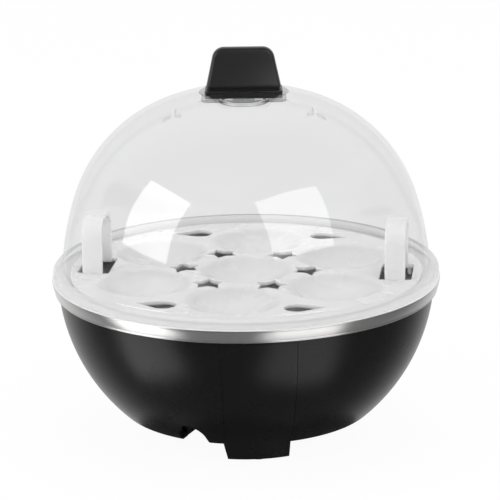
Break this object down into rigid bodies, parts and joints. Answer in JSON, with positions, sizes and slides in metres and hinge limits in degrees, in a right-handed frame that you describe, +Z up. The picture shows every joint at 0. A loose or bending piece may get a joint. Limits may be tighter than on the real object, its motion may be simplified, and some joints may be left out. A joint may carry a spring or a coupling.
{
  "type": "egg cooker",
  "caption": "Ball-shaped electric egg cooker: black bowl on feet, steel rim, white egg tray with grips, clear dome lid with a tab handle.",
  "frame": {"origin": "on the table, below the centre of the ball", "axes": "+Z up; +Y towards the switch; -Y towards the front foot; +X to the right seen from the front foot"},
  "size_m": [0.1719, 0.172, 0.1748],
  "materials": {
    "clear_lid": "clear moulded plastic, polished",
    "black_satin": "satin black moulded plastic",
    "tray_white": "white translucent moulded plastic",
    "ring_steel": "brushed round the rim",
    "black_gloss": "black moulded plastic, semi-gloss",
    "pad_rubber": "soft dark grey rubber",
    "zinc_steel": "zinc-plated steel",
    "black_matte": "fine-textured black plastic",
    "gland_rubber": "black rubber",
    "dish_steel": "spun stainless steel",
    "seal_silicone": "red silicone",
    "aluminium": "cast and pressed, bare",
    "element_sheath": "heat-darkened steel tube",
    "brass": "bare",
    "brown_resin": "brown moulded resin",
    "fuse_case": "glazed sleeve",
    "block_white": "moulded nylon",
    "lead_live": "brown insulation",
    "lead_neutral": "blue insulation",
    "lead_earth": "green and yellow insulation",
    "switch_black": "black moulded plastic",
    "rocker_red": "red moulded plastic"
  },
  "bodies": {
    "base": {"rim_ring": "ring_steel", "bowl_housing": "black_gloss", "leg_front": "black_gloss", "leg_right": "black_gloss", "leg_left": "black_gloss", "foot_pads": "pad_rubber", "leg_screws": "zinc_steel", "base_screws": "zinc_steel", "clamp_screws": "zinc_steel", "clamp_nuts": "zinc_steel", "clamp_washer": "zinc_steel", "thermostat_screws": "zinc_steel", "clamp_bar": "zinc_steel", "base_plate": "black_matte", "cord_gland": "gland_rubber", "heating_dish": "dish_steel", "dish_seal": "seal_silicone", "heat_spreader": "aluminium", "thermostat_cap": "aluminium", "thermostat_bracket": "aluminium", "fuse_clip": "aluminium", "heating_element": "element_sheath", "element_pins": "brass", "earth_tag": "brass", "thermostat_blades": "brass", "terminal_inserts": "brass", "switch_blades": "brass", "thermostat_body": "brown_resin", "thermal_fuse": "fuse_case", "terminal_block": "block_white", "live_leads": "lead_live", "neutral_leads": "lead_neutral", "earth_lead": "lead_earth", "switch_housing": "switch_black"},
    "tray": {"egg_tray": "tray_white", "egg_cups": "tray_white"},
    "lid": {"lid_dome": "clear_lid", "lid_handle": "black_satin"},
    "rocker": {"switch_rocker": "rocker_red"}
  },
  "joints": [
    {"name": "tray_lift", "type": "slide", "parent": "base", "child": "tray", "axis": [0, 0, 1], "range_m": [0, 0.08]},
    {"name": "lid_lift", "type": "slide", "parent": "tray", "child": "lid", "axis": [0, 0, 1], "range_m": [0, 0.13]},
    {"name": "rocker_tilt", "type": "hinge", "parent": "base", "child": "rocker", "pos_m": [0, 0.07316, 0.04138], "axis": [1, 0, 0], "range_deg": [0, 16]}
  ]
}
